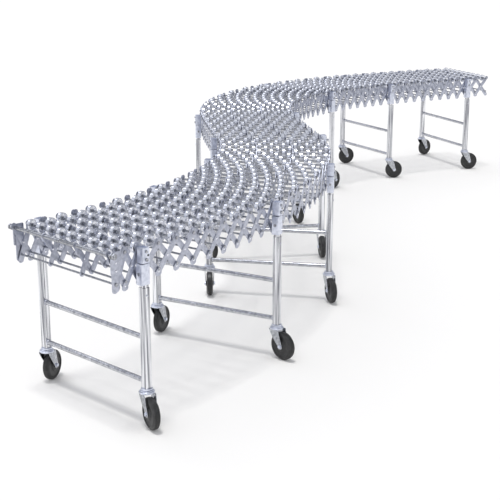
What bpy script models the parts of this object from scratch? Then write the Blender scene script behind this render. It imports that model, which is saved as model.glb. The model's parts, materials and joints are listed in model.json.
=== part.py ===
"""Expandable skate-wheel conveyor on eight castered leg sets, drawn out along an S.

A lattice of crossing links carries through axles with skate wheels on them. Each leg set holds one
axle between two brackets, on posts that telescope into a castered frame. Metres, +Z up, the origin
on the floor at the middle of the footprint. In each local frame +X runs along the bed and +Y left.
"""
import math

import bmesh
import bpy
from mathutils import Matrix, Vector

# Clearances
SEAT_GAP = 0.0003
SIDE_CLEARANCE = 0.001
OVERLAP = 0.004

# Bed: links, axles and wheels
PITCH = 0.0865
LINK_LENGTH = 0.1322
LINK_WIDTH = 0.020
LINK_THICKNESS = 0.006
AXLE_HEIGHT = 0.6966
AXLE_RADIUS = 0.005
SKATE_WHEEL_RADIUS = 0.024
SKATE_WHEEL_WIDTH = 0.018
END_AXLE_LENGTH = 0.650
WHEEL_OFFSET_SHARES = ((0.25, -0.25), (0.0,))

# Layout of the bed, from the near end: bays, their share of the pitch and the turn in degrees
LEAD_BAYS = 2
LEAD_PITCH_SHARE = 0.80
TAIL_BAYS = 2
TAIL_PITCH_SHARE = 0.97
FIRST_HEADING = 46.8
SPAN_BAYS = (9, 9, 8, 9, 15, 8, 9)
SPAN_PITCH_SHARES = (1.013, 0.961, 1.009, 1.025, 0.996, 1.009, 0.953)
SPAN_TURNS = (15.0, 17.1, 20.7, -2.0, -49.7, -17.6, -6.4)

# Leg sets
POST_SPACING = 0.620
BRACKET_WIDTH = 0.042
BRACKET_HEIGHT = 0.062
BRACKET_RISE = 0.008
BRACKET_CHAMFER = 0.008
OUTER_TUBE = 0.038
TUBE_WALL = 0.002
STAND_BOTTOM = 0.148
STAND_TOP = 0.552
POST_INSERT = 0.360
RUNG_RADIUS = 0.010
RUNG_HEIGHTS = (0.180, 0.354)

# Casters: the way each wheel trails, in degrees from +X, left then right of each leg set
CASTER_TRAIL = 0.038
CASTER_WAYS = ((71, 298), (66, 315), (273, 285), (123, 277), (300, 296), (60, 50), (20, 8), (38, 8))
WHEEL_RADIUS = 0.0635
WHEEL_WIDTH = 0.032
TREAD_WIDTH = 0.018
TREAD_SHOULDER = 0.005
HUB_LENGTH = 0.0354
PIN_RADIUS = 0.004
FORK_PLATE = 0.003
FORK_HEAD_RADIUS = 0.026
FORK_HEAD_HEIGHT = 0.014
FORK_FOOT = 0.012
FORK_ROOT = 0.019

# Facets
WHEEL_SIDES = 12
FORK_HEAD_SIDES = 8
PIN_SIDES = 6
RUNG_SIDES = 8
AXLE_SIDES = 8

COLUMN_OFFSET = (POST_SPACING - BRACKET_WIDTH - LINK_THICKNESS) / 2 - SIDE_CLEARANCE
INNER_TUBE = OUTER_TUBE - 2 * TUBE_WALL - 2 * SEAT_GAP


def clear_scene():
    for item in list(bpy.data.objects):
        bpy.data.objects.remove(item, do_unlink=True)


def material(name, colour, roughness, metallic):
    made = bpy.data.materials.new(name)
    made.use_nodes = True
    shader = made.node_tree.nodes["Principled BSDF"]
    shader.inputs["Base Color"].default_value = (*colour, 1.0)
    shader.inputs["Roughness"].default_value = roughness
    shader.inputs["Metallic"].default_value = metallic
    made.diffuse_color = (*colour, 1.0)
    return made


def mesh_from(bm, name, finish):
    """Close the bmesh into a mesh with its faces pointing out."""
    bmesh.ops.remove_doubles(bm, verts=bm.verts, dist=SEAT_GAP / 100)
    bmesh.ops.recalc_face_normals(bm, faces=bm.faces)
    mesh = bpy.data.meshes.new(name)
    bm.to_mesh(mesh)
    bm.free()
    mesh.materials.append(finish)
    return mesh


def empty(name, parent, location=(0.0, 0.0, 0.0), turn=0.0):
    made = bpy.data.objects.new(name, None)
    bpy.context.collection.objects.link(made)
    made.parent = parent
    made.location = location
    made.rotation_euler = (0.0, 0.0, turn)
    return made


def place(name, mesh, parent, location=(0.0, 0.0, 0.0)):
    made = bpy.data.objects.new(name, mesh)
    bpy.context.collection.objects.link(made)
    made.parent = parent
    made.location = location
    return made


def united(name, meshes):
    """One mesh from overlapping ones, by Boolean unions."""
    base = place(name, meshes[0], None)
    tools = []
    for number, mesh in enumerate(meshes[1:]):
        tool = place("%s_tool_%d" % (name, number), mesh, None)
        tool.hide_render = True
        tool.display_type = "WIRE"
        join = base.modifiers.new("join", "BOOLEAN")
        join.operation = "UNION"
        join.solver = "EXACT"
        join.object = tool
        tools.append(tool)
    bpy.context.view_layer.update()
    graph = bpy.context.evaluated_depsgraph_get()
    result = bpy.data.meshes.new_from_object(base.evaluated_get(graph))
    result.name = name
    for item in tools + [base]:
        bpy.data.objects.remove(item, do_unlink=True)
    return result


def skin_rings(bm, rings, closed=False):
    """Quads between rings of equal length, with end faces unless the rings close on themselves."""
    pairs = list(zip(rings, rings[1:]))
    if closed:
        pairs.append((rings[-1], rings[0]))
    for first, second in pairs:
        for k in range(len(first)):
            after = (k + 1) % len(first)
            bm.faces.new((first[k], first[after], second[after], second[k]))
    if not closed:
        bm.faces.new(rings[0])
        bm.faces.new(rings[-1])


def square_ring(bm, centre_y, size_x, size_y, height):
    corners = ((1, 1), (-1, 1), (-1, -1), (1, -1))
    return [bm.verts.new((a * size_x / 2, centre_y + b * size_y / 2, height)) for a, b in corners]


def ring_across(bm, radius, sides, offset, along="Y", centre=(0.0, 0.0, 0.0)):
    """Regular ring about an axis along Y or Z, with a flat side at its lowest."""
    ring = []
    for k in range(sides):
        angle = 2 * math.pi * (k + 0.5) / sides - math.pi / 2
        reach, rise = radius * math.cos(angle), radius * math.sin(angle)
        point = Vector((reach, offset, rise)) if along == "Y" else Vector((reach, rise, offset))
        ring.append(bm.verts.new(point + Vector(centre)))
    return ring


# Centreline

def on_curve(bend, station, ahead, left, height):
    """Point at true offsets from a station on an arc through the local origin."""
    angle = bend * station
    x, y = station, 0.0
    if bend != 0:
        x, y = math.sin(angle) / bend, (1 - math.cos(angle)) / bend
    return Vector((
        x + ahead * math.cos(angle) - left * math.sin(angle),
        y + ahead * math.sin(angle) + left * math.cos(angle),
        height))


def half_step(length, turn):
    """Place, in its own frame, of the end of half a span."""
    bend = turn / length
    return on_curve(bend, length / 2, 0.0, 0.0, 0.0), turn / 2


# Lattice of crossing links

def net_corners(pitch, bays, open_far):
    """Corners of one column of links: name and node to (station in bays, ahead, height)."""
    drop = math.sqrt(LINK_LENGTH ** 2 - pitch ** 2)
    slope = math.atan2(drop, pitch)
    rise = LINK_WIDTH / 2 / math.cos(slope)
    reach = LINK_WIDTH / 2 / math.sin(slope)
    tip = (rise - LINK_WIDTH / 2) / math.tan(slope)
    seat = AXLE_RADIUS + SEAT_GAP
    cut = seat * math.tan(slope)
    corners = {}
    for node in range(bays + 1):
        at_near, at_far = node == 0, node == bays and not open_far
        side = seat if at_near else -seat
        if at_near or at_far:
            corners["apex", node] = (node, side, rise - cut)
            corners["eye_top", node] = (node, side, cut - rise)
            corners["eye_low", node] = (node, side, rise - cut - drop)
            corners["tip_near", node] = (node, side, cut - rise - drop)
            corners["tip_far", node] = corners["tip_near", node]
            continue
        corners["apex", node] = (node, 0.0, rise)
        corners["eye_top", node] = (node, 0.0, -rise)
        corners["eye_low", node] = (node, 0.0, rise - drop)
        corners["tip_near", node] = (node, -tip, -drop - LINK_WIDTH / 2)
        corners["tip_far", node] = (node, tip, -drop - LINK_WIDTH / 2)
        corners["rod_top", node] = (node, 0.0, AXLE_RADIUS)
        corners["rod_near", node] = (node, -AXLE_RADIUS, 0.0)
        corners["rod_low", node] = (node, 0.0, -AXLE_RADIUS)
        corners["rod_far", node] = (node, AXLE_RADIUS, 0.0)
    for bay in range(bays):
        middle = bay + 0.5
        corners["notch_top", bay] = (middle, 0.0, rise - drop / 2)
        corners["notch_low", bay] = (middle, 0.0, -rise - drop / 2)
        corners["eye_far", bay] = (middle, -reach, -drop / 2)
        corners["eye_near", bay + 1] = (middle, reach, -drop / 2)
    if open_far:
        corners["notch_top", bays] = (bays, LINK_WIDTH / 2, LINK_WIDTH / 4)
        corners["eye_far", bays] = (bays, LINK_WIDTH / 2, -LINK_WIDTH / 4)
    return corners


def upper_far(node, bay, drilled):
    """Faces of the half node from its axle towards the next crossing."""
    if not drilled:
        return [(("apex", node), ("eye_top", node), ("eye_far", node), ("notch_top", bay))]
    return [
        (("apex", node), ("rod_top", node), ("rod_far", node), ("notch_top", bay)),
        (("rod_far", node), ("eye_far", node), ("notch_top", bay)),
        (("rod_low", node), ("eye_top", node), ("eye_far", node), ("rod_far", node))]


def upper_near(node, bay, drilled):
    """Faces of the half node from its axle back towards the crossing before it."""
    if not drilled:
        return [(("apex", node), ("notch_top", bay), ("eye_near", node), ("eye_top", node))]
    return [
        (("apex", node), ("notch_top", bay), ("rod_near", node), ("rod_top", node)),
        (("rod_near", node), ("notch_top", bay), ("eye_near", node)),
        (("rod_low", node), ("rod_near", node), ("eye_near", node), ("eye_top", node))]


def net_faces(bays, open_far, drilled):
    """Faces of one side of a column, drilled or not for the axles."""
    faces = []
    for bay in range(bays):
        node = bay + 1
        has_rod = node < bays or open_far
        faces += upper_far(bay, bay, drilled and bay > 0)
        faces += upper_near(node, bay, drilled and has_rod)
        faces.append((("notch_top", bay), ("eye_far", bay), ("notch_low", bay), ("eye_near", node)))
        faces.append((("eye_low", bay), ("tip_far", bay), ("notch_low", bay), ("eye_far", bay)))
        faces.append((("eye_low", node), ("eye_near", node), ("notch_low", bay), ("tip_near", node)))
        if has_rod:
            faces.append((("eye_low", node), ("tip_near", node), ("tip_far", node)))
    if open_far:
        faces += upper_far(bays, bays, drilled)
    return faces


def border(faces):
    """Directed edges that only one face uses."""
    edges = {(face[k], face[(k + 1) % len(face)]) for face in faces for k in range(len(face))}
    return sorted(edge for edge in edges if (edge[1], edge[0]) not in edges)


def rod_ring(bm, spot, left):
    """Four corners of an axle: top, near, low, far."""
    offsets = ((0.0, AXLE_RADIUS), (-AXLE_RADIUS, 0.0), (0.0, -AXLE_RADIUS), (AXLE_RADIUS, 0.0))
    return [bm.verts.new(spot(ahead, left, rise)) for ahead, rise in offsets]


def rim_ring(bm, spot, left):
    """Six corners of a skate wheel whose flats lie on its true circle."""
    corner = SKATE_WHEEL_RADIUS / math.cos(math.pi / 6)
    ring = []
    for k in range(6):
        angle = math.pi * k / 3
        ring.append(bm.verts.new(spot(corner * math.cos(angle), left, corner * math.sin(angle))))
    return ring


def wheel_side(bm, rod, rim):
    top, near, low, far = rod
    bm.faces.new((far, rim[0], rim[1], top))
    bm.faces.new((top, rim[1], rim[2]))
    bm.faces.new((top, rim[2], rim[3], near))
    bm.faces.new((near, rim[3], rim[4], low))
    bm.faces.new((low, rim[4], rim[5]))
    bm.faces.new((low, rim[5], rim[0], far))


def strip(bm, first, second):
    for k in range(len(first)):
        after = (k + 1) % len(first)
        bm.faces.new((first[k], first[after], second[after], second[k]))


def axle_run(bm, spot, left_ring, right_ring, row):
    """An axle from its left ring to its right one, with the wheels of its row on it."""
    last = left_ring
    for share in WHEEL_OFFSET_SHARES[row % len(WHEEL_OFFSET_SHARES)]:
        middle = share * 2 * COLUMN_OFFSET
        left, right = middle + SKATE_WHEEL_WIDTH / 2, middle - SKATE_WHEEL_WIDTH / 2
        rod_in, rim_in = rod_ring(bm, spot, left), rim_ring(bm, spot, left)
        rod_out, rim_out = rod_ring(bm, spot, right), rim_ring(bm, spot, right)
        strip(bm, last, rod_in)
        wheel_side(bm, rod_in, rim_in)
        strip(bm, rim_in, rim_out)
        wheel_side(bm, rod_out, rim_out)
        last = rod_out
    strip(bm, last, right_ring)


def lattice_mesh(name, pitch, bays, turn, first_row, finish, open_far=False):
    """Both columns of links of a span and the axles between them, bent about the span's middle."""
    bm = bmesh.new()
    length = pitch * bays
    bend = turn / length

    def spot_at(node):
        station = node * pitch - length / 2
        return lambda ahead, left, rise: on_curve(bend, station, ahead, left, AXLE_HEIGHT + rise)

    rods = {}
    for side in (1, -1):
        corners = net_corners(pitch * (1 - bend * side * COLUMN_OFFSET), bays, open_far)
        sheets = []
        for depth in (-1, 1):
            left = side * (COLUMN_OFFSET + depth * LINK_THICKNESS / 2)
            drilled = depth < 0
            sheet = {}
            faces = net_faces(bays, open_far, drilled)
            for key in sorted({key for face in faces for key in face}):
                node, ahead, rise = corners[key]
                sheet[key] = bm.verts.new(spot_at(node)(ahead, left, rise))
            for face in faces:
                bm.faces.new([sheet[key] for key in face])
            sheets.append(sheet)
        inner, outer = sheets
        for start, end in border(net_faces(bays, open_far, False)):
            bm.faces.new((inner[start], inner[end], outer[end], outer[start]))
        rods[side] = inner
    for node in range(1, bays + (1 if open_far else 0)):
        names = ("rod_top", "rod_near", "rod_low", "rod_far")
        left_ring = [rods[1][key, node] for key in names]
        right_ring = [rods[-1][key, node] for key in names]
        axle_run(bm, spot_at(node), left_ring, right_ring, first_row + node)
    return mesh_from(bm, name, finish)


# Leg sets

def post_mesh(name, side, finish):
    """Inner post with the bracket on its head, in one run of square rings."""
    bm = bmesh.new()
    y = side * POST_SPACING / 2
    top = AXLE_HEIGHT + BRACKET_RISE
    narrow = BRACKET_WIDTH - 2 * BRACKET_CHAMFER
    skin_rings(bm, [
        square_ring(bm, y, INNER_TUBE, INNER_TUBE, STAND_TOP - POST_INSERT),
        square_ring(bm, y, INNER_TUBE, INNER_TUBE, top - BRACKET_HEIGHT),
        square_ring(bm, y, BRACKET_WIDTH, BRACKET_WIDTH, top - BRACKET_HEIGHT),
        square_ring(bm, y, BRACKET_WIDTH, BRACKET_WIDTH, top - BRACKET_CHAMFER),
        square_ring(bm, y, narrow, BRACKET_WIDTH, top)])
    return mesh_from(bm, name, finish)


def support_mesh(name, row, finish):
    """Two posts with their brackets and the axle that they hold."""
    bm = bmesh.new()
    reach = POST_SPACING / 2 - BRACKET_WIDTH / 2 + OVERLAP

    def spot(ahead, left, rise):
        return Vector((ahead, left, AXLE_HEIGHT + rise))

    left_ring, right_ring = rod_ring(bm, spot, reach), rod_ring(bm, spot, -reach)
    bm.faces.new(left_ring)
    bm.faces.new(right_ring)
    axle_run(bm, spot, left_ring, right_ring, row)
    axle = mesh_from(bm, name + "_axle", finish)
    posts = [post_mesh("%s_post_%d" % (name, side), side, finish) for side in (1, -1)]
    return united(name, [axle] + posts)


def stand_mesh(name, finish):
    """Two tubes that take the posts from above, joined by two round rungs."""
    meshes = []
    for side in (1, -1):
        bm = bmesh.new()
        y = side * POST_SPACING / 2
        bore = OUTER_TUBE - 2 * TUBE_WALL
        skin_rings(bm, [
            square_ring(bm, y, OUTER_TUBE, OUTER_TUBE, STAND_BOTTOM),
            square_ring(bm, y, OUTER_TUBE, OUTER_TUBE, STAND_TOP),
            square_ring(bm, y, bore, bore, STAND_TOP),
            square_ring(bm, y, bore, bore, STAND_TOP - POST_INSERT - OVERLAP)])
        meshes.append(mesh_from(bm, "%s_tube_%d" % (name, side), finish))
    reach = (POST_SPACING - OUTER_TUBE + TUBE_WALL) / 2
    for number, height in enumerate(RUNG_HEIGHTS):
        bm = bmesh.new()
        centre = (0.0, 0.0, height)
        skin_rings(bm, [ring_across(bm, RUNG_RADIUS, RUNG_SIDES, y, "Y", centre) for y in (-reach, reach)])
        meshes.append(mesh_from(bm, "%s_rung_%d" % (name, number), finish))
    return united(name, meshes)


# Casters, with the swivel axis at the local origin and the wheel trailing along +X

def fork_mesh(name, finish):
    """Swivel head with two side plates and the wheel's pin between them."""
    head_top = STAND_BOTTOM - SEAT_GAP
    head_low = head_top - FORK_HEAD_HEIGHT
    inside = HUB_LENGTH / 2 + SEAT_GAP
    bm = bmesh.new()
    skin_rings(bm, [ring_across(bm, FORK_HEAD_RADIUS, FORK_HEAD_SIDES, z, "Z") for z in (head_low, head_top)])
    meshes = [mesh_from(bm, name + "_head", finish)]
    foot_low = WHEEL_RADIUS - FORK_FOOT
    outline = (
        (-FORK_ROOT, head_low + OVERLAP), (FORK_ROOT, head_low + OVERLAP),
        (CASTER_TRAIL + FORK_FOOT, WHEEL_RADIUS), (CASTER_TRAIL + FORK_FOOT / 2, foot_low),
        (CASTER_TRAIL - FORK_FOOT / 2, foot_low), (CASTER_TRAIL - FORK_FOOT, WHEEL_RADIUS))
    for side in (1, -1):
        bm = bmesh.new()
        rings = []
        for y in (side * inside, side * (inside + FORK_PLATE)):
            rings.append([bm.verts.new((x, y, z)) for x, z in outline])
        skin_rings(bm, rings)
        meshes.append(mesh_from(bm, "%s_plate_%d" % (name, side), finish))
    bm = bmesh.new()
    reach = inside + FORK_PLATE / 2
    centre = (CASTER_TRAIL, 0.0, WHEEL_RADIUS)
    skin_rings(bm, [ring_across(bm, PIN_RADIUS, PIN_SIDES, y, "Y", centre) for y in (-reach, reach)])
    meshes.append(mesh_from(bm, name + "_pin", finish))
    return united(name, meshes)


def ring_solid(name, profile, sides, finish):
    """Solid turned about Y from a closed profile of (offset along Y, radius of the true circle)."""
    bm = bmesh.new()
    spread = 1 / math.cos(math.pi / sides)
    skin_rings(bm, [ring_across(bm, radius * spread, sides, y) for y, radius in profile], closed=True)
    return mesh_from(bm, name, finish)


def caster_wheel_mesh(name, finish):
    """Tyre and hub, bored for the fork's pin, with flats on the true radius."""
    bore = PIN_RADIUS + SEAT_GAP
    shoulder = WHEEL_RADIUS - TREAD_SHOULDER
    return ring_solid(name, (
        (-HUB_LENGTH / 2, bore), (-WHEEL_WIDTH / 2, shoulder), (-TREAD_WIDTH / 2, WHEEL_RADIUS),
        (TREAD_WIDTH / 2, WHEEL_RADIUS), (WHEEL_WIDTH / 2, shoulder), (HUB_LENGTH / 2, bore)),
        WHEEL_SIDES, finish)


def skate_wheel_mesh(name, finish):
    bore = AXLE_RADIUS + SEAT_GAP
    half = SKATE_WHEEL_WIDTH / 2
    return ring_solid(name, (
        (-half, bore), (-half, SKATE_WHEEL_RADIUS), (half, SKATE_WHEEL_RADIUS), (half, bore)),
        WHEEL_SIDES, finish)


def end_axle_mesh(name, finish):
    bm = bmesh.new()
    reach = END_AXLE_LENGTH / 2
    skin_rings(bm, [ring_across(bm, AXLE_RADIUS, AXLE_SIDES, y) for y in (-reach, reach)])
    return mesh_from(bm, name, finish)


# Assembly

def add_caster(stand, number, side_name, side, way, heading, fork, wheel):
    pivot = empty("swivel_%d_%s" % (number, side_name), stand, (0.0, side * POST_SPACING / 2, 0.0),
                  math.radians(way) - heading)
    place("fork_%d_%s" % (number, side_name), fork, pivot)
    place("wheel_%d_%s" % (number, side_name), wheel, pivot, (CASTER_TRAIL, 0.0, WHEEL_RADIUS))


def add_near_end(leg, finish, wheel_finish):
    """The lattice before the first leg set, with the long end axle and its two turning wheels."""
    pitch = PITCH * LEAD_PITCH_SHARE
    length = pitch * LEAD_BAYS
    middle = empty("near_end", leg, (-length / 2, 0.0, 0.0))
    place("bed_near_end", lattice_mesh("bed_near_end", pitch, LEAD_BAYS, 0.0, 0, finish), middle)
    axle = empty("near_axle_line", leg, (-length, 0.0, AXLE_HEIGHT))
    place("near_end_axle", end_axle_mesh("near_end_axle", finish), axle)
    wheel = skate_wheel_mesh("near_skate_wheel", wheel_finish)
    for side_name, share in zip(("left", "right"), WHEEL_OFFSET_SHARES[0]):
        offset = share * 2 * COLUMN_OFFSET
        place("near_skate_wheel_" + side_name, wheel, axle, (0.0, offset, 0.0))


def add_far_end(leg, first_row, finish):
    pitch = PITCH * TAIL_PITCH_SHARE
    middle = empty("far_end", leg, (pitch * TAIL_BAYS / 2, 0.0, 0.0))
    mesh = lattice_mesh("bed_far_end", pitch, TAIL_BAYS, 0.0, first_row, finish, open_far=True)
    place("bed_far_end", mesh, middle)


def centre_on_footprint(root):
    """Move the root so that the middle of the footprint is the origin."""
    bpy.context.view_layer.update()
    corners = []
    for item in bpy.data.objects:
        if item.type == "MESH":
            corners += [item.matrix_world @ vertex.co for vertex in item.data.vertices]
    xs, ys = [corner.x for corner in corners], [corner.y for corner in corners]
    root.location = (-(min(xs) + max(xs)) / 2, -(min(ys) + max(ys)) / 2, 0.0)
    bpy.context.view_layer.update()


def build():
    clear_scene()
    zinc = material("zinc_steel", (0.74, 0.76, 0.80), 0.34, 1.0)
    tube = material("tube_steel", (0.70, 0.71, 0.74), 0.28, 1.0)
    wheel_steel = material("wheel_steel", (0.80, 0.81, 0.84), 0.25, 1.0)
    fork_black = material("fork_black", (0.05, 0.05, 0.055), 0.45, 0.0)
    rubber = material("rubber", (0.02, 0.02, 0.022), 0.6, 0.0)
    stand_shape = stand_mesh("stand", tube)
    fork_shape = fork_mesh("fork", fork_black)
    wheel_shape = caster_wheel_mesh("wheel", rubber)
    support_shapes = [support_mesh("support_row_%d" % row, row, zinc) for row in (0, 1)]

    root = empty("conveyor", None)
    heading = math.radians(FIRST_HEADING)
    leg = empty("leg_1", root, (0.0, 0.0, 0.0), heading)
    row = LEAD_BAYS
    add_near_end(leg, zinc, wheel_steel)
    for index in range(len(SPAN_BAYS) + 1):
        number = index + 1
        place("support_%d" % number, support_shapes[row % 2], leg)
        place("stand_%d" % number, stand_shape, leg)
        for side_name, side, way in zip(("left", "right"), (1, -1), CASTER_WAYS[index]):
            add_caster(leg, number, side_name, side, way, heading, fork_shape, wheel_shape)
        if index == len(SPAN_BAYS):
            break
        bays, turn = SPAN_BAYS[index], math.radians(SPAN_TURNS[index])
        pitch = PITCH * SPAN_PITCH_SHARES[index]
        step, half_turn = half_step(pitch * bays, turn)
        middle = empty("span_%d" % number, leg, step, half_turn)
        name = "bed_span_%d" % number
        place(name, lattice_mesh(name, pitch, bays, turn, row, zinc), middle)
        leg = empty("leg_%d" % (number + 1), middle, step, half_turn)
        heading += turn
        row += bays
    add_far_end(leg, row, zinc)
    centre_on_footprint(root)


build()
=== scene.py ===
import json
import math

import bmesh
import bpy
from mathutils import Matrix, Vector


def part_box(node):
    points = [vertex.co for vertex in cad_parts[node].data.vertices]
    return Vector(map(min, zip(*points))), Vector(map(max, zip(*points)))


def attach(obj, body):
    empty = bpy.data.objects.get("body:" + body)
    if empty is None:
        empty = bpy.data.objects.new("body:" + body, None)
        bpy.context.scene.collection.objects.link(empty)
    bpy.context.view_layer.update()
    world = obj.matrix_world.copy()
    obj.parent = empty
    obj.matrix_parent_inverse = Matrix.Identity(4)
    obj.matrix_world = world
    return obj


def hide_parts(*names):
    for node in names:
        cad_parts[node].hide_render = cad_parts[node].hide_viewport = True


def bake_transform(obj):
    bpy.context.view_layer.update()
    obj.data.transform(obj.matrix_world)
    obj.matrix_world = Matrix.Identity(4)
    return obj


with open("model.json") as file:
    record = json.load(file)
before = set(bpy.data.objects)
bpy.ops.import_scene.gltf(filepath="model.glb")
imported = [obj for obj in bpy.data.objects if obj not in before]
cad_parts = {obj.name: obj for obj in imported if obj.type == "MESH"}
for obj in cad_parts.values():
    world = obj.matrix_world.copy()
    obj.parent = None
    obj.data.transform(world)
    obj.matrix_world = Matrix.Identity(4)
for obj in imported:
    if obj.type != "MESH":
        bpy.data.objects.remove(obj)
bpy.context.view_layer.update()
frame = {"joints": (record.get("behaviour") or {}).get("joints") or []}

# The course of the bed
# The conveyor is drawn out in an S on eight leg sets. Between two leg sets it lies on an arc, which
# is worked out from where the casters swivel.
joints = {joint["name"]: joint for joint in frame["joints"]}
LEG_SETS = 8
SPAN_BAYS = (9, 9, 8, 9, 15, 8, 9)
END_BAYS = 2
AXLE_HEIGHT = 0.6966


def leg_place(number):
    """Frame of a leg set on the floor: +X along the bed, +Y to its left."""
    left = Vector(joints["swivel_%d_left" % number]["pos_m"])
    right = Vector(joints["swivel_%d_right" % number]["pos_m"])
    middle = (left + right) / 2
    middle.z = 0
    across = (left - right).normalized()
    heading = math.atan2(-across.x, across.y)
    return Matrix.Translation(middle) @ Matrix.Rotation(heading, 4, "Z")


def heading_of(place):
    return math.atan2(place[1][0], place[0][0])


def along_arc(place, length, turn, share):
    """Frame at a share of an arc that starts at a place and turns left by an angle."""
    angle = turn * share
    radius = length / turn if turn else 0
    x, y = length * share, 0
    if turn:
        x, y = radius * math.sin(angle), radius * (1 - math.cos(angle))
    return place @ Matrix.Translation((x, y, 0)) @ Matrix.Rotation(angle, 4, "Z")


legs = [leg_place(number) for number in range(1, LEG_SETS + 1)]
rows = []


def add_row(place, kind, span, step, steps):
    rows.append({"place": place, "kind": kind, "span": span, "step": step, "steps": steps})


near_low, near_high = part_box("near_end_axle")
near_end = (near_low + near_high) / 2
LEAD = (legs[0].translation.xy - near_end.xy).length
TAIL_PITCH = 0.090
for step in range(END_BAYS):
    back = Matrix.Translation((LEAD * (step / END_BAYS - 1), 0, 0))
    add_row(legs[0] @ back, "near", 0, step, END_BAYS)
for span, bays in enumerate(SPAN_BAYS):
    chord = (legs[span + 1].translation - legs[span].translation).length
    turn = heading_of(legs[span + 1]) - heading_of(legs[span])
    length = chord if abs(turn) < 1e-6 else chord * turn / 2 / math.sin(turn / 2)
    for step in range(bays):
        kind = "leg" if step == 0 else "span"
        add_row(along_arc(legs[span], length, turn, step / bays), kind, span + 1, step, bays)
for step in range(END_BAYS + 1):
    kind = "far" if step else "leg"
    add_row(legs[-1] @ Matrix.Translation((TAIL_PITCH * step, 0, 0)), kind, LEG_SETS, step, END_BAYS)

# The camera
# It stands where the photograph was taken from, about eye height and looking gently down, and its
# place is measured from the first leg set.
CAMERA_BEFORE_LEG = (0.615, -4.116)
CAMERA_HEIGHT = 1.817
CAMERA_LENS = 80.4
CAMERA_DOWN = 16.05
SENSOR_WIDTH = 36
SIGHT_LENGTH = 100
camera_x = legs[0].translation.x + CAMERA_BEFORE_LEG[0]
camera_y = legs[0].translation.y + CAMERA_BEFORE_LEG[1]
bpy.ops.object.camera_add(
    location=(camera_x, camera_y, CAMERA_HEIGHT),
    rotation=(math.radians(90 - CAMERA_DOWN), 0, 0))
camera = bpy.context.object
camera.data.lens = CAMERA_LENS
camera.data.sensor_width = SENSOR_WIDTH
camera.data.clip_end = SIGHT_LENGTH
bpy.context.scene.camera = camera

# Floor and light
# A seamless white floor lies under soft studio light. The world is white to the eye. What lights the
# metal is pale with a darker foot, which gives plated steel its grey edges, and has a long strip lamp
# that runs from overhead to the back left and puts a white spot on each wheel.


def linear(code):
    """Linear colour of an sRGB hex value."""
    parts = [int(code[k:k + 2], 16) / 255 for k in (1, 3, 5)]
    return tuple(c / 12.92 if c <= 0.04045 else ((c + 0.055) / 1.055) ** 2.4 for c in parts) + (1.0,)


def node(tree, kind, settings=(), **inputs):
    """Adds a node with its settings and links or values for its inputs."""
    made = tree.nodes.new(kind)
    for name, value in dict(settings).items():
        setattr(made, name, value)
    for name, value in inputs.items():
        name = name.replace("_", " ")
        by_number = name[0] == "i" and name[1:].isdigit()
        socket = made.inputs[int(name[1:])] if by_number else made.inputs[name]
        if hasattr(value, "links"):
            tree.links.new(value, socket)
        else:
            socket.default_value = value
    return made


FLOOR_SIZE = 120
FLOOR_PAPER = "#EDEBE7"
FLOOR_GLOW = 0.075
WHITE = "#FFFFFF"
bpy.ops.mesh.primitive_plane_add(size=FLOOR_SIZE, location=(0, 0, 0))
floor = bpy.context.object
floor.name = "studio_floor"
paper = bpy.data.materials.new("matt_white_floor")
paper.use_nodes = True
tree = paper.node_tree
tree.nodes.clear()
seen = node(tree, "ShaderNodeLightPath")
shown = seen.outputs["Is Camera Ray"]
for way in ("Is Glossy Ray", "Is Transmission Ray"):
    either = node(tree, "ShaderNodeMath", {"operation": "MAXIMUM"}, i0=shown, i1=seen.outputs[way])
    shown = either.outputs[0]
matt = node(tree, "ShaderNodeBsdfDiffuse", Color=linear(FLOOR_PAPER))
glow = node(tree, "ShaderNodeEmission", Color=linear(WHITE), Strength=FLOOR_GLOW)
lit = node(tree, "ShaderNodeAddShader", i0=matt.outputs[0], i1=glow.outputs[0])
mixed = node(tree, "ShaderNodeMixShader", i0=shown, i1=matt.outputs[0], i2=lit.outputs[0])
node(tree, "ShaderNodeOutputMaterial", Surface=mixed.outputs[0])
floor.data.materials.append(paper)

world = bpy.data.worlds.new("studio")
bpy.context.scene.world = world
world.use_nodes = True
tree = world.node_tree
tree.nodes.clear()
SKY = ((0.0, "#A6A9B0"), (0.15, "#C6C9D0"), (0.45, "#E9EBF1"), (0.75, "#DADCE3"), (1.0, "#C0C3CB"))
BRIGHT_SIDE = (-0.8, -0.6, 0.0)
SIDE_LEVELS = (0.56, 1.17)
STRIP_GLOW = 3.9
STRIP_LENGTHWAYS = (-0.73, 0.68, 0.0)
STRIP_SIDEWAYS = (0.68, 0.73, 0.0)
STRIP_HALF_WIDTH = (0.13, 0.09)
STRIP_START = (0.06, 0.12)
STRIP_END = (0.86, 0.80)
ray = node(tree, "ShaderNodeTexCoord")


def opposite(way):
    return tuple(-part for part in way)


def how_far(way):
    """How far a ray of the world points a given way, from -1 to 1."""
    pointing = {"operation": "DOT_PRODUCT"}
    spread = node(tree, "ShaderNodeVectorMath", pointing, i0=ray.outputs["Generated"], i1=way)
    return spread.outputs["Value"]


split = node(tree, "ShaderNodeSeparateXYZ", Vector=ray.outputs["Generated"])
ramp = node(tree, "ShaderNodeValToRGB", Fac=split.outputs["Z"])
while len(ramp.color_ramp.elements) < len(SKY):
    ramp.color_ramp.elements.new(0.5)
for stop, (height, colour) in zip(ramp.color_ramp.elements, SKY):
    stop.position = height
    stop.color = linear(colour)
side_level = node(tree, "ShaderNodeMapRange", Value=how_far(BRIGHT_SIDE))
side_level.inputs["From Min"].default_value = -1.0
side_level.inputs["To Min"].default_value = SIDE_LEVELS[0]
side_level.inputs["To Max"].default_value = SIDE_LEVELS[1]
above = node(tree, "ShaderNodeMapRange", Value=split.outputs["Z"])
strip = node(tree, "ShaderNodeMath", {"operation": "MULTIPLY"}, i0=STRIP_GLOW, i1=above.outputs[0])
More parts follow.
